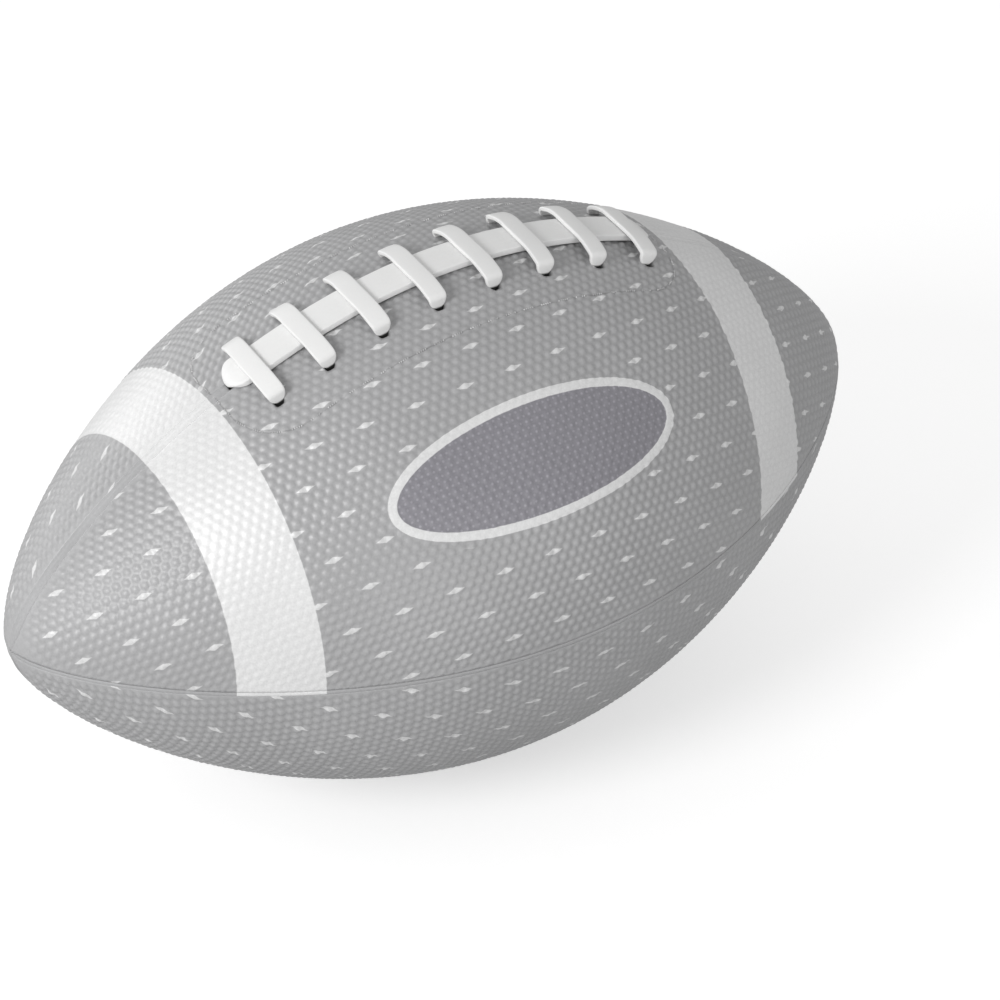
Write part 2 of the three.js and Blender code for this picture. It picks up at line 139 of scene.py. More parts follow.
# The front half of a bar falls to one angle before its bend, the rear half of each bar to its own
REAR_ANGLE = (42.0, 39.0, 33.0, 30.0, 28.0, 27.0, 28.0, 31.0)
STRAP_HALF_WIDTH = 5.3
STRAP_THICKNESS = 2.0
STRAP_EDGE_RADIUS = 0.42
STRAP_LEFT_END = 66.0
STRAP_RIGHT_END = 68.3
SLOT_END = 0.95
KNOB_HALF_WIDTH = 5.5
KNOB_CORNER = 4.2
KNOB_OFFSET = 0.8
KNOB_FALL = 1.6
KNOB_THINNING = 0.4
KNOB_ROUNDING = 0.5
KNOB_CROWN = 0.2
# The strap's ends start to widen and to lie aside this far before the middle of the last bar
KNOB_FLARE_START = 3.0
KNOB_OFFSET_START = 6.0
STRAP_GROOVES = (-0.4, 0.05, 0.45)
STRAP_GROOVE_DEPTH = 0.05
STRAP_GROOVE_WIDTH = 0.35
LAST_BAR = BAR_PITCH * (BAR_COUNT - 1) / 2
# Holes of the bars: half sizes, corner radius, place past the bar's bend, and more room at the front
HOLE_HALF_LENGTH = 1.5
HOLE_HALF_WIDTH = 1.15
HOLE_CORNER = 1.1
HOLE_SHIFT = 0.2
HOLE_PAST_BEND = 0.3
FRONT_HOLE_ROOM = 0.3
# Stitched outline around the lacing: half sizes and corner, stitches and their dots
OUTLINE_LENGTH = 71.0
OUTLINE_WIDTH = 25.0
OUTLINE_CORNER = 18.0
STITCH_SPACING = 5.7
DOT_SPACING = 0.68
DOT_RADIUS = 0.24
DOT_PROFILE = ((1.0, -0.4), (1.0, 0.02), (0.72, 0.15), (0.35, 0.21))
DOT_CROWN = 0.22
DOT_SIDES = 10

# Stripes: start and end along the ball. On the front half the right one's two edges lean by this much per
# degree around the ball, the first of them from some degrees below the top
STRIPE_LEFT = (-93.4, -72.4)
STRIPE_RIGHT = (73.4, 95.3)
STRIPE_LEAN = (0.062, 0.056)
STRIPE_STRAIGHT = 30.0

# Emblem: a plain oval on the front panel, with a flat border and small pebbles and pips inside it
EMBLEM_CENTRE = (-3.0, -5.0)
EMBLEM_HALF = (46.0, 17.5)
EMBLEM_BORDER = 2.6
EMBLEM_BLEND = 0.3
EMBLEM_BORDER_HEIGHT = 0.05
EMBLEM_BORDER_RELIEF = 0.06
EMBLEM_PEBBLE_RADIUS = 0.95
EMBLEM_PEBBLE_HEIGHT = 0.30
EMBLEM_PEBBLE_SINK = 0.12
PIP_TURNS = 2 * math.pi / 1.75

# Lozenges printed in staggered rows, and the radius of the ball under which its tips have none
LOZENGE_ROW_GAP = 10.28
LOZENGE_COLUMN_GAP = 14.85
LOZENGE_HALF_LENGTH = 2.9
LOZENGE_HALF_WIDTH = 0.95
BARE_TIP_RADIUS = 6.0

# Valve in the lower rear panel: angle from the top, radius of its hole
VALVE_ANGLE = math.radians(135)
VALVE_HOLE = 3.5

# Studio: floor and camera place in metres, light from all around, the camera's directions, and its lens and
# sensor in millimetres. The camera is fitted to the photograph's view
FLOOR_HALF_SIZE = 6.0
FLOOR_GREY = (0.6, 0.6, 0.6, 1)
FLOOR_GLOW = 0.55
AMBIENT = 0.576
CAMERA_PLACE = (-0.67099, -1.03736, 1.06717)
CAMERA_RIGHT = (0.83841018, -0.54479717, 0.01626104)
CAMERA_UP = (0.33115953, 0.53287724, 0.77870098)
CAMERA_FORWARD = (0.43289923, 0.64748583, -0.62718447)
CAMERA_LENS = 201.773
CAMERA_SENSOR = 36.0


# Profile of the ball by its length along the surface
places = np.linspace(-math.pi / 2, math.pi / 2, 40001)
profile_x = HALF_LENGTH * np.sin(places)
profile_r = (RADIUS * np.maximum(np.cos(places), 0) ** (2 * PROFILE_POWER)
             * (1 - PROFILE_DRAW * np.sin(places) ** 2))
steps = np.hypot(np.diff(profile_x), np.diff(profile_r))
profile_s = np.concatenate([[0.0], np.cumsum(steps)])
profile_s -= profile_s[len(places) // 2]
slope_x = np.gradient(profile_x, profile_s)
slope_r = np.gradient(profile_r, profile_s)


def radius_at(s):
    return np.interp(s, profile_s, profile_r)


def x_at(s):
    return np.interp(s, profile_s, profile_x)


def s_at_x(x):
    return np.interp(x, profile_x, profile_s)


def s_at_tip(radius):
    half = len(places) // 2
    return float(np.interp(-radius, -profile_r[half:], profile_s[half:]))


def ball_points(s, angle, height):
    """Points on the ball: length along it, angle from the top to the rear, height above it."""
    run_x = np.interp(s, profile_s, slope_x)
    run_r = np.interp(s, profile_s, slope_r)
    x = x_at(s) - run_r * height
    r = radius_at(s) + run_x * height
    return np.stack([x, r * np.sin(angle), CENTRE_HEIGHT + r * np.cos(angle)], -1)


def smooth_step(low, high, value):
    """0 below low, 1 above high, and a smooth rise between them."""
    share = np.clip((value - low) / (high - low), 0, 1)
    return share * share * (3 - 2 * share)


def grid_quads(index):
    """Four-sided faces of a grid of vertex numbers."""
    corners = [index[:-1, :-1], index[1:, :-1], index[1:, 1:], index[:-1, 1:]]
    return np.stack(corners, -1).reshape(-1, 4)


def make_piece(name, points, faces, material, nodes=(), attributes=None):
    """A smooth mesh from points in millimetres, in the frame, in place of the given nodes."""
    mesh = bpy.data.meshes.new(name)
    mesh.from_pydata((np.asarray(points) * MM).tolist(), [], faces)
    mesh.polygons.foreach_set("use_smooth", np.ones(len(mesh.polygons), dtype=bool))
    for key, values in (attributes or {}).items():
        layer = mesh.attributes.new(key, "FLOAT_VECTOR", "POINT")
        layer.data.foreach_set("vector", np.asarray(values, dtype=np.float32).ravel())
    mesh.update()
    piece = bpy.data.objects.new(name, mesh)
    bpy.context.scene.collection.objects.link(piece)
    mesh.materials.append(material)
    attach(piece, "root")
    if nodes:
        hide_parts(*nodes)
    return piece


# Materials

def new_material(name):
    material = bpy.data.materials.new(name)
    material.use_nodes = True
    tree = material.node_tree
    tree.nodes.clear()
    output = tree.nodes.new("ShaderNodeOutputMaterial")
    shader = tree.nodes.new("ShaderNodeBsdfPrincipled")
    tree.links.new(shader.outputs[0], output.inputs[0])
    return material, tree, shader


class Graph:
    """Short names for the nodes that the materials use."""

    def __init__(self, tree):
        self.tree = tree

    def node(self, kind, **settings):
        node = self.tree.nodes.new(kind)
        for key, value in settings.items():
            setattr(node, key, value)
        return node

    def put(self, socket, value):
        if isinstance(value, bpy.types.NodeSocket):
            self.tree.links.new(value, socket)
        else:
            socket.default_value = value

    def math(self, operation, a, b=0.0, c=0.0):
        node = self.node("ShaderNodeMath", operation=operation)
        for socket, value in zip(node.inputs, (a, b, c)):
            self.put(socket, value)
        return node.outputs[0]

    def ramp(self, value, low, high, to_low=0.0, to_high=1.0):
        node = self.node("ShaderNodeMapRange", interpolation_type="SMOOTHSTEP")
        for socket, item in zip(node.inputs, (value, low, high, to_low, to_high)):
            self.put(socket, item)
        return node.outputs[0]

    def mix(self, share, a, b, blend="MIX"):
        node = self.node("ShaderNodeMix", data_type="RGBA", blend_type=blend)
        self.put(node.inputs[0], share)
        self.put(node.inputs[6], a)
        self.put(node.inputs[7], b)
        return node.outputs[2]

    def attribute(self, name):
        node = self.node("ShaderNodeAttribute", attribute_name=name)
        parts = self.node("ShaderNodeSeparateXYZ")
        self.put(parts.inputs[0], node.outputs["Vector"])
        return parts.outputs[0], parts.outputs[1], parts.outputs[2]

    def place(self):
        return self.node("ShaderNodeTexCoord").outputs["Object"]

    def noise(self, scale, detail=2.0, roughness=0.5):
        node = self.node("ShaderNodeTexNoise")
        self.put(node.inputs["Vector"], self.place())
        node.inputs["Scale"].default_value = scale
        node.inputs["Detail"].default_value = detail
        node.inputs["Roughness"].default_value = roughness
        return node.outputs[0]

    def bump(self, height, distance, strength=1.0, normal=None):
        node = self.node("ShaderNodeBump")
        node.inputs["Strength"].default_value = strength
        node.inputs["Distance"].default_value = distance
        self.put(node.inputs["Height"], height)
        if normal is not None:
            self.put(node.inputs["Normal"], normal)
        return node.outputs[0]


GREY = (0.368, 0.368, 0.373, 1)
WHITE = (0.70, 0.70, 0.70, 1)
VIOLET_GREY = (0.235, 0.228, 0.255, 1)
LINE_GREY = (0.12, 0.12, 0.12, 1)
# Painted shade inside the holes
HOLE_SHADE = (0.006, 0.006, 0.006, 1)
LACE_WHITE = (0.80, 0.80, 0.795, 1)
CLOTH_BEIGE = (0.56, 0.52, 0.42, 1)
BLADDER_BLACK = (0.012, 0.012, 0.013, 1)
VALVE_BLACK = (0.023, 0.023, 0.025, 1)


def rubber_tone(g, colour, rise):
    """Grey rubber: darker between the pebbles with painted shade and dirt, cloudy over centimetres, grainy
    over tenths of a mm.
    """
    cloud = g.ramp(g.noise(28.0, 3.0), 0.3, 0.7, 0.965, 1.03)
    grain = g.ramp(g.noise(1700.0, 2.0), 0.25, 0.75, 0.95, 1.05)
    # Painted shade, with some dirt: darker where the pebbles' relief is low, a little lighter on their tops
    hollow_shade_and_dirt = g.ramp(rise, 0.0, 0.75, 0.91, 1.02)
    tone = g.math("MULTIPLY", g.math("MULTIPLY", cloud, grain), hollow_shade_and_dirt)
    return g.mix(1.0, colour, tone, "MULTIPLY")


def cover_material():
    material, tree, shader = new_material("cover_rubber")
    g = Graph(tree)
    along, across, rise = g.attribute("flat")
    stripe, emblem, outline = g.attribute("marks")
    pit, _, prints = g.attribute("pit")

    # Uneven edges of the paint
    wobble = g.math("MULTIPLY_ADD", g.noise(420.0, 2.0), 0.9, -0.45)
    wobble = g.math("MULTIPLY_ADD", rise, 0.25, g.math("ADD", wobble, -0.12))

    # Lozenges: distance from the nearest one's middle, 1 at its edge
    row = g.math("DIVIDE", across, LOZENGE_ROW_GAP)
    row_near = g.math("ROUND", row)
    off_row = g.math("MULTIPLY", g.math("SUBTRACT", row, row_near), LOZENGE_ROW_GAP)
    odd = g.math("MULTIPLY", g.math("FLOORED_MODULO", row_near, 2.0), 0.5)
    column = g.math("SUBTRACT", g.math("DIVIDE", along, LOZENGE_COLUMN_GAP), odd)
    off_column = g.math("SUBTRACT", column, g.math("ROUND", column))
    off_column = g.math("MULTIPLY", off_column, LOZENGE_COLUMN_GAP)
    reach = g.math("ADD", g.math("DIVIDE", g.math("ABSOLUTE", off_column), LOZENGE_HALF_LENGTH),
                   g.math("DIVIDE", g.math("ABSOLUTE", off_row), LOZENGE_HALF_WIDTH))
    lozenge = g.ramp(g.math("MULTIPLY_ADD", wobble, 0.12, reach), 0.82, 1.06, 1.0, 0.0)
    lozenge = g.math("MULTIPLY", lozenge, prints)
    lozenge = g.math("MULTIPLY", lozenge, g.ramp(emblem, -2.5, -1.5, 1.0, 0.0))
    worn = g.ramp(g.noise(900.0, 3.0), 0.25, 0.5, 0.55, 0.82)

    # Stripes, and the oval with its border
    stripe_mask = g.ramp(g.math("MULTIPLY_ADD", wobble, 0.2, stripe), -0.14, 0.14)
    emblem_mask = g.ramp(g.math("MULTIPLY_ADD", wobble, 0.25, emblem), -0.12, 0.12)
    field_mask = g.ramp(g.math("MULTIPLY_ADD", wobble, 0.25, emblem),
                        EMBLEM_BORDER - 0.12, EMBLEM_BORDER + 0.12)

    grey = rubber_tone(g, GREY, rise)
    paint = rubber_tone(g, WHITE, g.math("MULTIPLY_ADD", rise, 0.5, 0.42))
    pips = g.math("ADD", g.math("COSINE", g.math("MULTIPLY", along, PIP_TURNS)),
                  g.math("COSINE", g.math("MULTIPLY", across, PIP_TURNS)))
    pips = g.ramp(pips, 0.9, 1.8, 0.94, 1.3)
    field = g.mix(1.0, rubber_tone(g, VIOLET_GREY, rise), pips, "MULTIPLY")
    colour = g.mix(g.math("MULTIPLY", lozenge, worn), grey, paint)
    colour = g.mix(stripe_mask, colour, paint)
    colour = g.mix(emblem_mask, colour, paint)
    colour = g.mix(field_mask, colour, field)

    # Faint line around the lacing, and the painted shade that makes the inside of the holes black
    line = g.ramp(g.math("ABSOLUTE", outline), 0.10, 0.28, 1.0, 0.0)
    faint = g.ramp(g.noise(60.0, 1.0), 0.42, 0.62, 0.04, 0.42)
    colour = g.mix(g.math("MULTIPLY", line, faint), colour, LINE_GREY)
    colour = g.mix(pit, colour, HOLE_SHADE)
    g.put(shader.inputs["Base Color"], colour)

    painted = g.math("MAXIMUM", stripe_mask, lozenge)
    rough = g.math("MULTIPLY_ADD", g.noise(500.0, 2.0), 0.12, 0.40)
    g.put(shader.inputs["Roughness"], g.math("MULTIPLY_ADD", painted, -0.03, rough))
    shader.inputs["Specular IOR Level"].default_value = 1.0
    grain = g.bump(g.noise(2600.0, 3.0, 0.6), 0.00004, 0.5)
    groove = g.bump(g.math("MULTIPLY", line, -1.0), 0.00012, 0.6, grain)
    g.put(shader.inputs["Normal"], groove)
    return material


def seam_material():
    material, tree, shader = new_material("seam_rubber")
    g = Graph(tree)
    stripe, across, ridge = g.attribute("marks")
    cloud = g.ramp(g.noise(40.0, 3.0), 0.3, 0.7, 0.94, 1.04)
    grain = g.ramp(g.noise(1500.0, 2.0), 0.25, 0.75, 0.94, 1.05)
    # Painted shade along the bead's two edges, and a faint painted highlight along the ridge of the strips
    side = g.ramp(g.math("ABSOLUTE", across), 0.75, 1.0, 1.0, 0.92)
    side = g.math("MULTIPLY_ADD", ridge, 0.05, side)
    tone = g.math("MULTIPLY", g.math("MULTIPLY", cloud, grain), side)
    wobble = g.math("MULTIPLY_ADD", g.noise(420.0, 2.0), 0.5, -0.25)
    mask = g.ramp(g.math("ADD", stripe, wobble), -0.14, 0.14)
    colour = g.mix(mask, GREY, WHITE)
    g.put(shader.inputs["Base Color"], g.mix(1.0, colour, tone, "MULTIPLY"))
    g.put(shader.inputs["Roughness"], g.math("MULTIPLY_ADD", g.noise(500.0), 0.12, 0.40))
    shader.inputs["Specular IOR Level"].default_value = 0.45
    g.put(shader.inputs["Normal"], g.bump(g.noise(2200.0, 3.0, 0.6), 0.00005, 0.5))
    return material


def lace_material():
    material, tree, shader = new_material("lace_vinyl")
    g = Graph(tree)
    above, _, _ = g.attribute("buried")
    # Painted shade: the lacing turns almost black where it sinks below the cover into the holes
    shade = g.ramp(above, -0.45, 0.25, 0.03, 1.0)
    cloud = g.ramp(g.noise(60.0, 3.0), 0.3, 0.7, 0.975, 1.0)
    speck = g.ramp(g.noise(1300.0, 4.0, 0.7), 0.22, 0.40, 0.93, 1.0)
    tone = g.math("MULTIPLY", g.math("MULTIPLY", cloud, speck), shade)
    g.put(shader.inputs["Base Color"], g.mix(1.0, LACE_WHITE, tone, "MULTIPLY"))
    g.put(shader.inputs["Roughness"], g.math("MULTIPLY_ADD", g.noise(300.0), 0.14, 0.42))
    shader.inputs["Specular IOR Level"].default_value = 0.4
    g.put(shader.inputs["Normal"], g.bump(g.noise(1100.0, 4.0, 0.65), 0.00008, 0.5))
    return material


def cloth_material():
    material, tree, shader = new_material("backing_fabric")
    g = Graph(tree)
    waves = []
    for direction in ("X", "Y"):
        wave = g.node("ShaderNodeTexWave", wave_type="BANDS", bands_direction=direction)
        g.put(wave.inputs["Vector"], g.place())
        wave.inputs["Scale"].default_value = 320.0
        wave.inputs["Distortion"].default_value = 0.8
        waves.append(wave.outputs["Fac"])
    weave = g.math("MULTIPLY", waves[0], waves[1])
    thread = g.ramp(weave, 0.05, 0.6, 0.72, 1.05)
    cloud = g.ramp(g.noise(50.0, 3.0), 0.3, 0.7, 0.9, 1.05)
    tone = g.math("MULTIPLY", thread, cloud)
    g.put(shader.inputs["Base Color"], g.mix(1.0, CLOTH_BEIGE, tone, "MULTIPLY"))
    g.put(shader.inputs["Roughness"], g.ramp(weave, 0.0, 1.0, 0.95, 0.8))
    shader.inputs["Sheen Weight"].default_value = 0.2
    g.put(shader.inputs["Normal"], g.bump(weave, 0.0003, 0.8))
    return material


def dark_rubber_material(name, colour, rough):
    material, tree, shader = new_material(name)
    g = Graph(tree)
    dust = g.ramp(g.noise(350.0, 4.0, 0.6), 0.35, 0.75, 0.85, 1.5)
    g.put(shader.inputs["Base Color"], g.mix(1.0, colour, dust, "MULTIPLY"))
    g.put(shader.inputs["Roughness"], g.math("MULTIPLY_ADD", g.noise(600.0), 0.2, rough))
    g.put(shader.inputs["Normal"], g.bump(g.noise(1800.0, 3.0), 0.00005, 0.6))
    return material


cover = cover_material()
seam = seam_material()
vinyl = lace_material()
cloth = cloth_material()
bladder_rubber = dark_rubber_material("bladder_rubber", BLADDER_BLACK, 0.5)
valve_rubber = dark_rubber_material("valve_rubber", VALVE_BLACK, 0.45)


# Holes that the lacing passes through, as rounded boxes on top of the ball: middle along and across it,
# half sizes along and across, corner radius
lace_holes = []
for i in range(BAR_COUNT):
    middle = float(s_at_x(i * BAR_PITCH - LAST_BAR + BAR_SHIFT[i]))
    for side in (-1, 1):
        reach = BAR_REACH if side < 0 else BAR_REAR_REACH
        turned = side * reach * math.radians(BAR_TURN[i])
        room = FRONT_HOLE_ROOM if side < 0 else 0.0
        lace_holes.append((middle - turned + HOLE_SHIFT, side * (reach + HOLE_PAST_BEND + room),
                           HOLE_HALF_LENGTH + room / 2, HOLE_HALF_WIDTH + room, HOLE_CORNER))


def rounded_box(along, across, hole):
    """Distance to the edge of a rounded box, below 0 inside, and the direction away from it."""
    middle, offset, half_along, half_across, corner = hole
    p, q = along - middle, across - offset
    dx = np.abs(p) - (half_along - corner)
    dy = np.abs(q) - (half_across - corner)
    ox, oy = np.maximum(dx, 0), np.maximum(dy, 0)
    outer = np.hypot(ox, oy)
    distance = outer + np.minimum(np.maximum(dx, dy), 0) - corner
    inside = outer < 1e-9
    gx = np.where(inside, (dx > dy) * 1.0, ox / np.maximum(outer, 1e-9)) * np.sign(p)
    gy = np.where(inside, (dx <= dy) * 1.0, oy / np.maximum(outer, 1e-9)) * np.sign(q)
    return distance, gx, gy


def seam_edge(r, width):
    """Distance of a panel's edge from the middle of a seam, where the ball has radius r."""
    groove = LACE_SEAM_GROOVE if width == LACE_SEAM_WIDTH else SEAM_GROOVE
    groove = groove * np.minimum(1, r / GROOVE_FULL_RADIUS)
    return np.minimum(width / 2, SEAM_TIP_SHARE * r) + groove


def dome(s, w, radius, seed):
    """Height from 0 to 1 of pebbles in staggered rows, with a little variety from one to the next."""
    best = np.full(s.shape, 1e9)
    mark = np.zeros(s.shape)
    low = np.floor(w / PEBBLE_ROW)
    for b in (low, low + 1):
        a = np.round(s / PEBBLE_PITCH - b / 2)
        distance = np.hypot(s - (a + b / 2) * PEBBLE_PITCH, w - b * PEBBLE_ROW)
        # A fixed value for each pebble, from its row and its place in the row
        value = np.sin(a * 127.1 + b * 311.7 + seed * 74.7) * 43758.5453
        closer = distance < best
        best = np.where(closer, distance, best)
        mark = np.where(closer, value - np.floor(value), mark)
    return np.clip(1 - (best / radius) ** PEBBLE_POWER, 0, 1) * (0.86 + 0.14 * mark)


def stripe_inside(x, angle, lean):
    """How far inside a stripe a point lies, in millimetres, below 0 outside."""
    degrees = np.degrees(angle)
    left = np.minimum(x - STRIPE_LEFT[0], STRIPE_LEFT[1] - x)
    start = STRIPE_RIGHT[0] + lean * STRIPE_LEAN[0] * np.minimum(degrees + STRIPE_STRAIGHT, 0)
    end = STRIPE_RIGHT[1] + lean * STRIPE_LEAN[1] * degrees
    return np.maximum(left, np.minimum(x - start, end - x))


def emblem_inside(s, w):
    """How far inside the oval a point lies, in millimetres, below 0 outside."""
    p = (s - EMBLEM_CENTRE[0]) / EMBLEM_HALF[0]
    q = (w - EMBLEM_CENTRE[1]) / EMBLEM_HALF[1]
    ring = np.maximum(np.hypot(p, q), 0.05)
    return (1 - ring) * ring / np.hypot(p / EMBLEM_HALF[0], q / EMBLEM_HALF[1])


def move_to_holes(s, w, holes, arc_shift, step_s, step_w, fixed):
    """Grid points near a hole's edge moved onto it, and each one's distance to the nearest hole."""
    near_hole = np.full(s.shape, FAR)
    for hole in holes:
        distance, gs, gw = rounded_box(s, w + radius_at(s) * arc_shift, hole)
        half_step = HOLE_SNAP * (np.abs(gs) * step_s + np.abs(gw) * step_w)
        close = (np.abs(distance) < half_step) & ~fixed
        s = np.where(close, s - distance * gs, s)
        w = np.where(close, w - distance * gw, w)
        near_hole = np.minimum(near_hole, np.where(close, 0.0, distance))
    return s, w, near_hole


def panel_faces(index, inside, lo, hi):
    """Faces of a panel: the grid outside, a coarser one inside, and the walls between them."""
    quads = grid_quads(index)
    distinct = quads != np.roll(quads, -1, 1)
    corners = distinct.sum(1)
    faces = quads[corners == 4].tolist()
    for quad, keep in zip(quads[corners == 3], distinct[corners == 3]):
        faces.append(quad[keep].tolist())
    faces += grid_quads(inside)[:, [0, 3, 2, 1]].tolist()
    each = np.arange(len(index))
    low_edge, high_edge = index[each, lo], index[each, hi]
    wall = [low_edge[:-1], inside[:-1, 0], inside[1:, 0], low_edge[1:]]
    faces += np.stack(wall, -1).tolist()
    wall = [high_edge[:-1], high_edge[1:], inside[1:, -1], inside[:-1, -1]]
    faces += np.stack(wall, -1).tolist()
    for row, flip in ((0, False), (len(index) - 1, True)):
        loop = index[row, lo[row]:hi[row] + 1].tolist() + inside[row, ::-1].tolist()
        faces.append(loop[::-1] if flip else loop)
    return faces


def cover_panel(name, node, centre, low_width, high_width, top, seed, turned):
    """One pebbled panel between two seams, closed, with its thickness."""
    step_s, step_w = PEBBLE_PITCH / STEPS_ALONG, PEBBLE_ROW / STEPS_ACROSS
    if turned:
        step_s, step_w = PEBBLE_ROW / TURNED_STEPS, PEBBLE_PITCH / TURNED_STEPS

    # Grid along and across the panel, cut off at its two edges
    end = s_at_tip(TIP_RADIUS)
    count = int((end - EDGE_SNAP * step_s) / step_s)
    rows = np.concatenate([[-end], np.arange(-count, count + 1) * step_s, [end]])
    row_r = radius_at(rows)
    low = -(row_r * math.pi / 4 - seam_edge(row_r, low_width))
    high = row_r * math.pi / 4 - seam_edge(row_r, high_width)
    first, last = math.floor(low.min() / step_w), math.ceil(high.max() / step_w)
    columns = np.arange(first, last + 1)
    grid = np.broadcast_to(columns * step_w, (len(rows), len(columns)))
    snap = EDGE_SNAP * step_w
    lo = np.sum(grid <= low[:, None] + snap, 1) - 1
    hi = len(columns) - np.sum(grid >= high[:, None] - snap, 1)
    lo, hi = np.maximum(lo, 0), np.minimum(hi, len(columns) - 1)
    number = np.arange(len(columns))[None, :]
    at_low, at_high = number <= lo[:, None], number >= hi[:, None]
    w = np.where(at_low, low[:, None], np.where(at_high, high[:, None], grid))
    s = np.broadcast_to(rows[:, None], w.shape)

    if top:
        holes = [hole for hole in lace_holes if hole[1] * centre > 0]
    elif node == "cover_panel_bottom_rear":
        holes = [(0.0, 0.0, VALVE_HOLE, VALVE_HOLE, VALVE_HOLE)]
    else:
        holes = []
    arc_shift = centre if top else 0.0
    s, w, near_hole = move_to_holes(s, w, holes, arc_shift, step_s, step_w, at_low | at_high)
    in_hole, at_hole = near_hole < -0.05, near_hole < 0.01
    # Share of painted shade that blackens the holes: full inside them, part at their edge
    pit = np.where(in_hole, 1.0, np.where(at_hole, 0.35, 0.0))

    # Pebbles, calmer near edges, holes and tips, and the marks that the material paints
    r = radius_at(s)
    x = x_at(s)
    angle = centre + w / r
    bumps = dome(w, s, PEBBLE_RADIUS, seed) if turned else dome(s, w, PEBBLE_RADIUS, seed)
    edge_low, edge_high = w - low[:, None], high[:, None] - w
    calm = smooth_step(*EDGE_FADE, np.minimum(edge_low, edge_high))
    calm = calm * np.where(s < 0, smooth_step(*LEFT_TIP_FADE, r), smooth_step(*RIGHT_TIP_FADE, r))
    calm = calm * smooth_step(*HOLE_FADE, near_hole)
    outline = np.full(s.shape, FAR)
    stripe = np.full(s.shape, -FAR)
    emblem = np.full(s.shape, -FAR)
    height = PEBBLE_HEIGHT * bumps - PEBBLE_SINK
    if top:
        height = height * (REAR_RELIEF if turned else 1.0)
        box = (0.0, 0.0, float(s_at_x(OUTLINE_LENGTH)), OUTLINE_WIDTH, OUTLINE_CORNER)
        outline, _, _ = rounded_box(s, r * angle, box)
        calm = calm * (LACING_RELIEF + (1 - LACING_RELIEF) * smooth_step(*OUTLINE_FADE, outline))
        stripe = stripe_inside(x, angle, 1.0 if centre < 0 else 0.0)
        painted = np.where(s < 0, STRIPE_RELIEF, STRIPE_RIGHT_RELIEF)
        height = height * np.where(stripe > 0, painted, 1.0)
    else:
        height = height * (1 + LOWER_LEFT_RELIEF * smooth_step(*LOWER_LEFT_RANGE, -s))
    if top and centre < 0:
        emblem = emblem_inside(s, w)
        small = dome(s, w, EMBLEM_PEBBLE_RADIUS, seed)
        inside = smooth_step(-EMBLEM_BLEND, EMBLEM_BLEND, emblem)
        field = smooth_step(EMBLEM_BORDER - EMBLEM_BLEND, EMBLEM_BORDER + EMBLEM_BLEND, emblem)
        border = EMBLEM_BORDER_HEIGHT + EMBLEM_BORDER_RELIEF * bumps
        height = height * (1 - inside) + inside * border
        height = height * (1 - field) + field * (EMBLEM_PEBBLE_HEIGHT * small - EMBLEM_PEBBLE_SINK)
        bumps = bumps * (1 - field) + field * (0.35 + 0.65 * small)
    rise = PEBBLE_MEAN + (bumps - PEBBLE_MEAN) * calm
    height = height * calm
    for side, width in ((edge_low, low_width), (edge_high, high_width)):
        if width == SEAM_WIDTH:
            height = height - EDGE_FALL * (1 - np.clip(side / EDGE_FALL_WIDTH, 0, 1)) ** 2
    height = np.where(in_hole, -PIT_DEPTH, np.where(at_hole, -PIT_EDGE_DEPTH, height))

    outer = ball_points(s, angle, height)
    inner_w = low[:, None] + (high - low)[:, None] * np.linspace(0, 1, INNER_COLUMNS + 1)
    inner_s = np.broadcast_to(rows[:, None], inner_w.shape)
    inner = ball_points(inner_s, centre + inner_w / row_r[:, None], -COVER_THICKNESS)
    if not top:
        outer[..., 2] = np.maximum(outer[..., 2], 0.0)
        inner[..., 2] = np.maximum(inner[..., 2], FLAT_INNER_HEIGHT)

    clipped = np.clip(number, lo[:, None], hi[:, None])
    index = np.arange(len(rows))[:, None] * len(columns) + clipped
    inner_index = w.size + np.arange(inner_w.size).reshape(inner_w.shape)
    faces = panel_faces(index, inner_index, lo, hi)
    points = np.concatenate([outer.reshape(-1, 3), inner.reshape(-1, 3)])
    plain = np.zeros((inner_w.size, 3))
    prints = np.where((near_hole < 0.5) | (r < BARE_TIP_RADIUS), 0.0, 1.0)
    flat = np.concatenate([np.stack([s, w, rise], -1).reshape(-1, 3), plain])
    marks = np.concatenate([np.stack([stripe, emblem, outline], -1).reshape(-1, 3), plain - FAR])
    pits = np.concatenate([np.stack([pit, 0 * pit, prints], -1).reshape(-1, 3), plain])

    # Only vertices that a face uses stay
    used = np.zeros(len(points), dtype=bool)
    for face in faces:
        used[face] = True
    renumber = np.cumsum(used) - 1
    faces = [renumber[face].tolist() for face in faces]
    attributes = {"flat": flat[used], "marks": marks[used], "pit": pits[used]}
    make_piece(name, points[used], faces, cover, [node], attributes)


cover_panel("panel_top_front", "cover_panel_top_front", -QUARTER / 2,
            SEAM_WIDTH, LACE_SEAM_WIDTH, top=True, seed=1, turned=False)
cover_panel("panel_top_rear", "cover_panel_top_rear", QUARTER / 2,
            LACE_SEAM_WIDTH, SEAM_WIDTH, top=True, seed=2, turned=True)
cover_panel("panel_bottom_front", "cover_panel_bottom_front", -1.5 * QUARTER,
            SEAM_WIDTH, SEAM_WIDTH, top=False, seed=3, turned=True)
cover_panel("panel_bottom_rear", "cover_panel_bottom_rear", 1.5 * QUARTER,
            SEAM_WIDTH, SEAM_WIDTH, top=False, seed=4, turned=True)


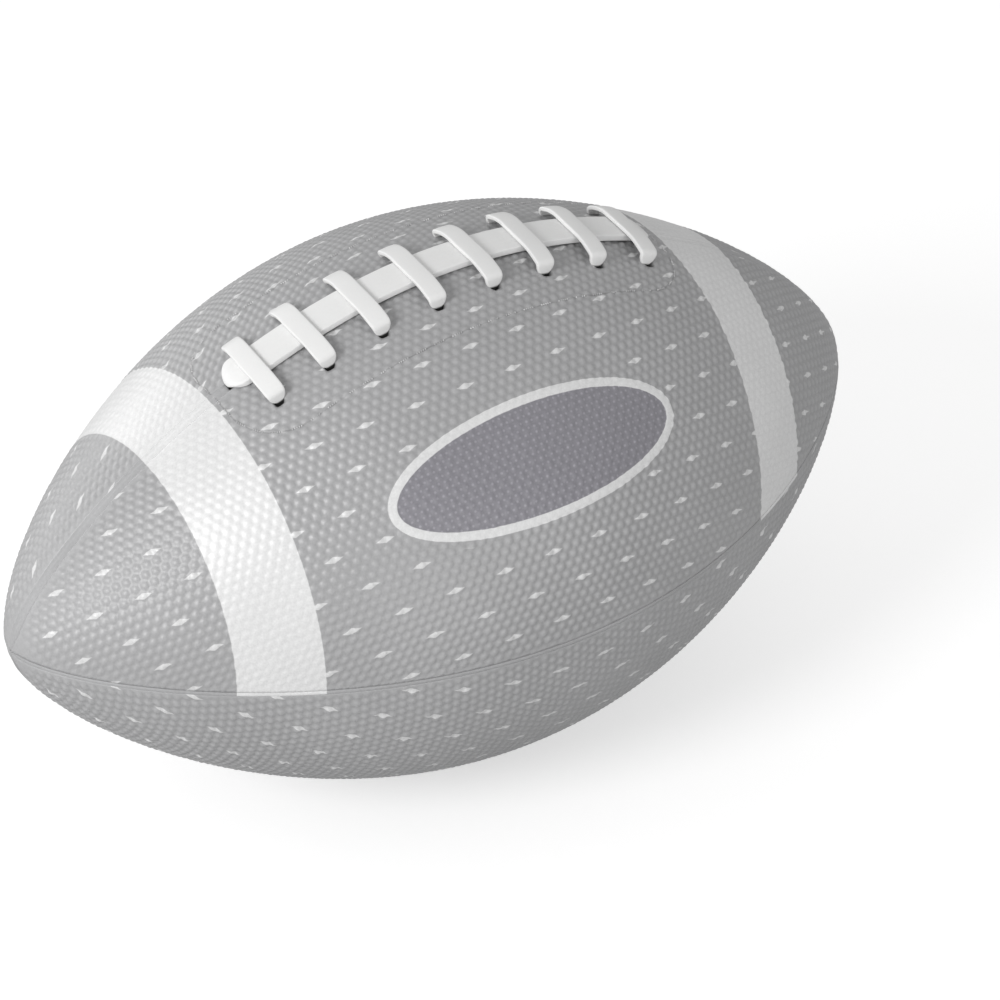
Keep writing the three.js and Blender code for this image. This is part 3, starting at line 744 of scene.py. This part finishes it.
def seam_bead(name, node, angle, start, end, width, columns):
    """Raised bead in a seam, or flat strip with a ridge on it, closed, narrowing towards the tips."""
    wide = width == LACE_SEAM_WIDTH
    count = max(int((end - start) / BEAD_STEP), 8)
    s = np.linspace(start, end, count + 1)[:, None]
    r = radius_at(s)
    half = np.minimum(width / 2, SEAM_TIP_SHARE * r)
    share = np.linspace(-1, 1, columns + 1)[None, :]
    crest = np.clip(1 - np.abs(share) ** 2.6, 0, 1) ** 0.6
    ridge = np.exp(-(share / RIDGE_SHARE) ** 2)
    sway = 0.02 * np.sin(s * 0.9) + 0.015 * np.sin(s * 2.3 + share)
    full = np.minimum(1, r / GROOVE_FULL_RADIUS)
    if wide:
        height = (RIDGE_RISE + sway) * ridge * full
    else:
        height = (BEAD_RISE + sway) * crest * full - BEAD_DIP * (1 - crest)
    spread = np.broadcast_to(s, (count + 1, columns + 1))
    around = angle + half * share / r
    outer = ball_points(spread, around, height)
    inner = ball_points(spread, around, -COVER_THICKNESS + 0 * spread)
    outer[..., 2] = np.maximum(outer[..., 2], 0.0)
    inner[..., 2] = np.maximum(inner[..., 2], FLAT_INNER_HEIGHT)

    over = np.arange(spread.size).reshape(spread.shape)
    under = over + over.size
    faces = grid_quads(over).tolist() + grid_quads(under)[:, [0, 3, 2, 1]].tolist()
    faces += np.stack([over[:-1, 0], under[:-1, 0], under[1:, 0], over[1:, 0]], -1).tolist()
    faces += np.stack([over[:-1, -1], over[1:, -1], under[1:, -1], under[:-1, -1]], -1).tolist()
    faces.append(over[0].tolist() + under[0, ::-1].tolist())
    faces.append((over[-1].tolist() + under[-1, ::-1].tolist())[::-1])

    # The stripes' paint runs over the seams of the upper panels, but not over the bottom one
    if abs(angle) <= QUARTER:
        lean = 1.0 if angle <= 0 else 0.0
        stripe = stripe_inside(x_at(spread), np.clip(around, -QUARTER, QUARTER), lean)
    else:
        stripe = np.full(spread.shape, -FAR)
    across = share * (not wide) + 0 * spread
    marks = np.stack([stripe, across, ridge * wide + 0 * spread], -1).reshape(-1, 3)
    points = np.concatenate([outer.reshape(-1, 3), inner.reshape(-1, 3)])
    attributes = {"marks": np.concatenate([marks, marks])}
    make_piece(name, points, faces, seam, [node], attributes)


tip = s_at_tip(TIP_RADIUS)
left_start = float(s_at_x(STRAP_LEFT_END + SLOT_END))
right_start = float(s_at_x(STRAP_RIGHT_END + SLOT_END))
seam_bead("bead_front", "seam_strip_front", -QUARTER, -tip, tip, SEAM_WIDTH, 10)
seam_bead("bead_rear", "seam_strip_rear", QUARTER, -tip, tip, SEAM_WIDTH, 10)
seam_bead("bead_bottom", "seam_strip_bottom", 2 * QUARTER, -tip, tip, SEAM_WIDTH, 10)
seam_bead("strip_top_left", "seam_strip_top_left", 0.0, -tip, -left_start, LACE_SEAM_WIDTH, 14)
seam_bead("strip_top_right", "seam_strip_top_right", 0.0, right_start, tip, LACE_SEAM_WIDTH, 14)


def top_frame(x):
    """Point on the lace seam, with the directions along the ball and out of it there."""
    s = float(s_at_x(x))
    run = np.array([np.interp(s, profile_s, slope_x), 0.0, np.interp(s, profile_s, slope_r)])
    run /= np.linalg.norm(run)
    origin = np.array([x, 0.0, CENTRE_HEIGHT + float(radius_at(s))])
    return origin, run, np.array([-run[2], 0.0, run[0]])


def tube_faces(rings, around):
    """Faces of a closed tube of rings with its two ends capped."""
    index = np.arange(rings * around).reshape(rings, around)
    turned = np.roll(index, -1, 1)
    faces = np.stack([index[:-1], index[1:], turned[1:], turned[:-1]], -1).reshape(-1, 4).tolist()
    faces.append(index[0].tolist())
    faces.append(index[-1, ::-1].tolist())
    return faces


def band_section(half_width, half_thick, corner, crown, grooves=(), top_points=13):
    """Outline of a flat lace across its length: rounded corners, a crowned top and fine grooves."""
    corner = min(corner, half_thick * 0.98, half_width * 0.98)
    flat = half_width - corner
    points = []

    def add_corner(x, y, first):
        for turn in np.radians(np.linspace(first, first + 90, 7)[1:]):
            points.append((x + corner * math.cos(turn), y + corner * math.sin(turn)))

    for value in np.linspace(flat, -flat, top_points):
        rise = crown * (1 - (value / half_width) ** 2)
        for place, depth, wide in grooves:
            rise -= depth * math.exp(-((value - place * half_width) / wide) ** 2)
        points.append((value, half_thick + rise))
    add_corner(-flat, half_thick - corner, 90)
    add_corner(-flat, corner - half_thick, 180)
    for value in np.linspace(-flat, flat, 7)[1:]:
        points.append((value, -half_thick))
    add_corner(flat, corner - half_thick, 270)
    add_corner(flat, half_thick - corner, 0)
    return np.array(points[:-1])


def bar_half(reach, degrees):
    """Half of a bar: its middle line from the top to the leg, across and height above the ball, and
    how far it has narrowed along it."""
    angle = math.radians(degrees)
    start = reach - BAR_BEND * (1 - math.sin(angle))
    run = start - BAR_FLAT
    drop = run * math.tan(angle) / 2
    line = [(y, BAR_CROWN) for y in np.linspace(0, BAR_FLAT, 8)]
    for share in np.linspace(0, 1, 19)[1:]:
        line.append((BAR_FLAT + run * share, BAR_CROWN - drop * share ** 2))
    centre = (reach - BAR_BEND, BAR_CROWN - drop - BAR_BEND * math.cos(angle))
    for turn in np.linspace(angle, QUARTER, 13)[1:]:
        line.append((centre[0] + BAR_BEND * math.sin(turn), centre[1] + BAR_BEND * math.cos(turn)))
    for z in np.linspace(centre[1], -LEG_DEPTH, 6)[1:]:
        line.append((reach, z))
    line = np.array(line)
    travel = np.concatenate([[0], np.cumsum(np.hypot(*np.diff(line, axis=0).T))])
    first = float(np.interp(reach - BAR_TIP_LENGTH, line[:, 0], travel))
    last = float(travel[-1]) - LEG_DEPTH + BAR_TIP_DEPTH
    return line, 1 - np.sqrt(1 - np.clip((travel - first) / (last - first), 0, 1) ** 2)


def sweep(line, sections, place):
    """Rings of a lace: each section stands square to the line and is placed by a function."""
    tangent = np.gradient(line, axis=0)
    tangent /= np.linalg.norm(tangent, axis=1)[:, None]
    normal = np.stack([-tangent[:, 1], tangent[:, 0]], -1)
    rings = []
    for point, out, section in zip(line, normal, sections):
        flat = point[None, :] + section[:, 1:2] * out[None, :]
        rings.append(place(flat, section[:, 0]))
    return np.concatenate(rings)


def height_above_cover(points):
    """Height of points above the ball's surface, measured around its axis, as an attribute."""
    around = np.hypot(points[:, 1], points[:, 2] - CENTRE_HEIGHT)
    above = around - np.interp(points[:, 0], profile_x, profile_r)
    return np.stack([above, 0 * above, 0 * above], -1)


front_line, front_narrow = bar_half(BAR_REACH, SHOULDER_ANGLE)
random = np.random.default_rng(7)
for i in range(BAR_COUNT):
    origin, run, out = top_frame(i * BAR_PITCH - LAST_BAR + BAR_SHIFT[i])
    rear_line, rear_narrow = bar_half(BAR_REAR_REACH, REAR_ANGLE[i])
    bar_line = np.concatenate([front_line[:0:-1] * [-1, 1], rear_line])
    narrowing = np.concatenate([front_narrow[:0:-1], rear_narrow])
    turn = math.radians(BAR_TURN[i])
    swell = random.uniform(0.985, 1.02)
    sections = []
    for narrow in narrowing:
        half = (BAR_HALF_WIDTH + (BAR_TIP_HALF_WIDTH - BAR_HALF_WIDTH) * narrow) * swell
        corner = BAR_EDGE_RADIUS + (BAR_TIP_EDGE_RADIUS - BAR_EDGE_RADIUS) * narrow
        sections.append(band_section(half, BAR_THICKNESS / 2, corner, LACE_CROWN))

    def place(flat, width):
        along = width * math.cos(turn) - flat[:, 0] * math.sin(turn)
        across = flat[:, 0] * math.cos(turn) + width * math.sin(turn)
        return (origin + along[:, None] * run + across[:, None] * np.array([0.0, 1.0, 0.0])
                + flat[:, 1:2] * out)

    points = sweep(bar_line, sections, place)
    faces = tube_faces(len(bar_line), len(sections[0]))
    make_piece(f"bar_{i + 1}", points, faces, vinyl, [f"lace_bar_{i + 1}"],
               {"buried": height_above_cover(points)})


def strap_half(end):
    """Middle line of the strap from the middle of the ball to one end, in the plane of the lace seam,
    with its half width, half thickness and how far its end is rounded."""
    round_start = end - KNOB_CORNER
    line, halves = [], []
    for x in np.linspace(0, round_start, 64)[:-1]:
        origin, _, out = top_frame(x)
        flare = smooth_step(LAST_BAR - KNOB_FLARE_START, round_start, x)
        half = STRAP_HALF_WIDTH + (KNOB_HALF_WIDTH - STRAP_HALF_WIDTH) * flare
        line.append((origin + out * (GAP + STRAP_THICKNESS / 2))[[0, 2]])
        halves.append((half, STRAP_THICKNESS / 2, 0.0))
    for turn in np.linspace(0, QUARTER, 22):
        origin, _, out = top_frame(round_start + KNOB_CORNER * math.sin(turn))
        fall = 1 - math.cos(turn)
        height = GAP + STRAP_THICKNESS / 2 - KNOB_FALL * fall ** 1.3
        line.append((origin + out * height)[[0, 2]])
        thick = STRAP_THICKNESS / 2 * (1 - KNOB_THINNING * fall)
        halves.append((KNOB_HALF_WIDTH - KNOB_CORNER * fall, thick, fall))
    return np.array(line), halves


def place_strap(flat, width):
    """Points of the strap, whose left end lies a little to the rear of the lace seam."""
    start = LAST_BAR - KNOB_OFFSET_START
    aside = KNOB_OFFSET * smooth_step(start, STRAP_LEFT_END, -flat[:, 0])
    return np.stack([flat[:, 0], aside - width, flat[:, 1]], -1)


left_line, left_sizes = strap_half(STRAP_LEFT_END)
right_line, right_sizes = strap_half(STRAP_RIGHT_END)
full_strap = np.concatenate([left_line[:0:-1] * [-1, 1], right_line])
sections = []
for half, thick, rounding in left_sizes[:0:-1] + right_sizes:
    depth = STRAP_GROOVE_DEPTH * (1 - rounding)
    grooves = [(middle, depth, STRAP_GROOVE_WIDTH) for middle in STRAP_GROOVES]
    corner = STRAP_EDGE_RADIUS + KNOB_ROUNDING * rounding
    crown = LACE_CROWN + KNOB_CROWN * rounding
    sections.append(band_section(half, thick, corner, crown, grooves, 41))
points = sweep(full_strap, sections, place_strap)
make_piece("strap", points, tube_faces(len(full_strap), len(sections[0])), vinyl,
           ["lace_strap"], {"buried": height_above_cover(points)})


def outline_points(spacing):
    """Places along the stitched outline around the lacing, with the direction there."""
    half_s = float(s_at_x(OUTLINE_LENGTH)) - OUTLINE_CORNER
    half_a = OUTLINE_WIDTH - OUTLINE_CORNER
    path = []
    for side_s, side_a, first in ((1, 1, 0), (-1, 1, 90), (-1, -1, 180), (1, -1, 270)):
        for turn in np.radians(np.linspace(first, first + 90, 40)):
            path.append((side_s * half_s + OUTLINE_CORNER * math.cos(turn),
                         side_a * half_a + OUTLINE_CORNER * math.sin(turn)))
    path.append(path[0])
    path = np.array(path)
    lengths = np.concatenate([[0], np.cumsum(np.hypot(*np.diff(path, axis=0).T))])
    count = int(lengths[-1] / spacing)
    where = (np.arange(count) + 0.5) * lengths[-1] / count
    places = np.stack([np.interp(where, lengths, path[:, k]) for k in (0, 1)], -1)
    ahead = np.stack([np.interp(where + 0.1, lengths, path[:, k]) for k in (0, 1)], -1)
    return places, (ahead - places) / np.linalg.norm(ahead - places, axis=1)[:, None]


def stitching():
    """Moulded stitches around the lacing: short rows of small dots that stand on the cover."""
    places, directions = outline_points(STITCH_SPACING)
    ring = np.radians(np.linspace(0, 360, DOT_SIDES, endpoint=False))
    shares, heights = np.array(DOT_PROFILE).T[:, :, None]
    up = heights + 0 * ring
    points, faces = [], []
    for place, direction in zip(places, directions):
        for dot in (-2, -1, 0, 1, 2):
            middle = place + direction * dot * DOT_SPACING
            s = middle[0] + DOT_RADIUS * shares * np.cos(ring)
            arc = middle[1] + DOT_RADIUS * shares * np.sin(ring)
            sides = ball_points(s, arc / radius_at(s), up).reshape(-1, 3)
            middle_angle = middle[1:] / radius_at(middle[:1])
            crown = ball_points(middle[:1], middle_angle, np.array([DOT_CROWN]))
            index = len(points) * (up.size + 1) + np.arange(up.size).reshape(up.shape)
            beside = np.roll(index, -1, 1)
            quads = np.stack([index[:-1], beside[:-1], beside[1:], index[1:]], -1)
            faces += quads.reshape(-1, 4).tolist()
            peak = int(index[-1, -1]) + 1
            faces += [[a, b, peak] for a, b in zip(index[-1].tolist(), beside[-1].tolist())]
            faces.append(index[0, ::-1].tolist())
            points.append(np.concatenate([sides, crown]))
    points = np.concatenate(points)
    attributes = {"marks": np.zeros((len(points), 3))}
    make_piece("lace_stitching", points, faces, seam, (), attributes)


stitching()


# Valve
def turned_piece(name, node, pairs, sides):
    """A closed ring of pairs, radius and depth under the cover, turned about the valve's axis."""
    axis = np.array([0.0, math.sin(VALVE_ANGLE), math.cos(VALVE_ANGLE)])
    across = np.array([1.0, 0.0, 0.0])
    other = np.cross(axis, across)
    turn = np.linspace(0, 2 * math.pi, sides, endpoint=False)
    spoke = np.cos(turn)[:, None] * across + np.sin(turn)[:, None] * other
    centre = np.array([0.0, 0.0, CENTRE_HEIGHT])
    rings = [centre + axis * (RADIUS - depth) + spoke * radius for radius, depth in pairs]
    index = np.arange(len(pairs) * sides).reshape(len(pairs), sides)
    after = np.roll(index, -1, 0)
    faces = np.stack([index, after, np.roll(after, -1, 1), np.roll(index, -1, 1)], -1)
    faces = faces.reshape(-1, 4).tolist()
    make_piece(name, np.concatenate(rings), faces, valve_rubber, [node])


turned_piece("valve_plug", "valve_body", [
    (1.9, 0.75), (2.0, 0.55), (2.2, 0.45), (2.7, 0.40), (3.0, 0.45), (3.15, 0.6), (3.2, 0.9),
    (3.2, 2.9), (7.7, 2.95), (8.0, 3.2), (8.0, 4.8), (7.8, 5.1), (4.0, 5.2), (4.0, 14.6),
    (3.7, 15.0), (1.9, 15.0)], 64)
turned_piece("valve_insert", "valve_core", [
    (0.6, 1.3), (0.75, 1.05), (1.2, 0.78), (1.45, 0.72), (1.6, 0.85), (1.6, 14.5), (1.4, 14.7),
    (0.6, 14.7)], 48)

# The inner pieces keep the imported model's meshes
for node, material in (("carcass", cloth), ("lace_tongue", cloth), ("bladder", bladder_rubber)):
    frame["nodes"][node].data.materials.clear()
    frame["nodes"][node].data.materials.append(material)


# Floor, light and camera
def white_for_camera(g):
    """1 for rays that come from the camera or through a clear surface, else 0."""
    rays = g.node("ShaderNodeLightPath").outputs
    return g.math("MAXIMUM", rays["Is Camera Ray"], rays["Is Transmission Ray"])


def floor():
    """Pale floor with a glow that only the camera sees, so that it is white where no shadow falls."""
    size = FLOOR_HALF_SIZE
    corners = [(-size, -size, 0), (size, -size, 0), (size, size, 0), (-size, size, 0)]
    mesh = bpy.data.meshes.new("floor")
    mesh.from_pydata(corners, [], [(0, 1, 2, 3)])
    material = bpy.data.materials.new("floor")
    material.use_nodes = True
    tree = material.node_tree
    tree.nodes.clear()
    g = Graph(tree)
    output = g.node("ShaderNodeOutputMaterial")
    total = g.node("ShaderNodeAddShader")
    diffuse = g.node("ShaderNodeBsdfDiffuse")
    glow = g.node("ShaderNodeEmission")
    diffuse.inputs["Color"].default_value = FLOOR_GREY
    g.put(glow.inputs["Strength"], g.math("MULTIPLY", white_for_camera(g), FLOOR_GLOW))
    g.put(total.inputs[0], diffuse.outputs[0])
    g.put(total.inputs[1], glow.outputs[0])
    g.put(output.inputs[0], total.outputs[0])
    mesh.materials.append(material)
    plane = bpy.data.objects.new("floor", mesh)
    bpy.context.scene.collection.objects.link(plane)


def world():
    """Even light from all around, in front of a white background."""
    scene_world = bpy.data.worlds.new("studio")
    bpy.context.scene.world = scene_world
    scene_world.use_nodes = True
    tree = scene_world.node_tree
    tree.nodes.clear()
    g = Graph(tree)
    output = g.node("ShaderNodeOutputWorld")
    background = g.node("ShaderNodeBackground")
    strength = g.math("MULTIPLY_ADD", white_for_camera(g), 1.0 - AMBIENT, AMBIENT)
    background.inputs["Color"].default_value = (1, 1, 1, 1)
    g.put(background.inputs["Strength"], strength)
    g.put(output.inputs[0], background.outputs[0])


def lamp(name, place, size, power):
    """Round soft lamp that points at the ball."""
    data = bpy.data.lights.new(name, "AREA")
    data.shape = "DISK"
    data.size = size
    data.energy = power
    item = bpy.data.objects.new(name, data)
    item.location = place
    aim = Vector((0, 0, CENTRE_HEIGHT * MM)) - Vector(place)
    item.rotation_euler = aim.to_track_quat("-Z", "Y").to_euler()
    bpy.context.scene.collection.objects.link(item)


floor()
world()
lamp("left", (-1.12, -0.3, 0.8), 0.5, 9.1)
lamp("front", (-0.1, -1.5, 0.3), 1.0, 4.2)
lamp("rear", (-0.35, 1.5, 0.35), 1.0, 5.2)
lamp("rear_left", (-1.2, 0.75, 0.4), 0.8, 2.0)

camera = bpy.data.objects.new("camera", bpy.data.cameras.new("camera"))
camera.data.lens = CAMERA_LENS
camera.data.sensor_width = CAMERA_SENSOR
camera.data.clip_end = 50.0
axes = Matrix((Vector(CAMERA_RIGHT), Vector(CAMERA_UP), -Vector(CAMERA_FORWARD)))
camera.matrix_world = Matrix.Translation(CAMERA_PLACE) @ axes.transposed().to_4x4()
bpy.context.scene.collection.objects.link(camera)
bpy.context.scene.camera = camera
bpy.context.scene.view_settings.view_transform = "Standard"
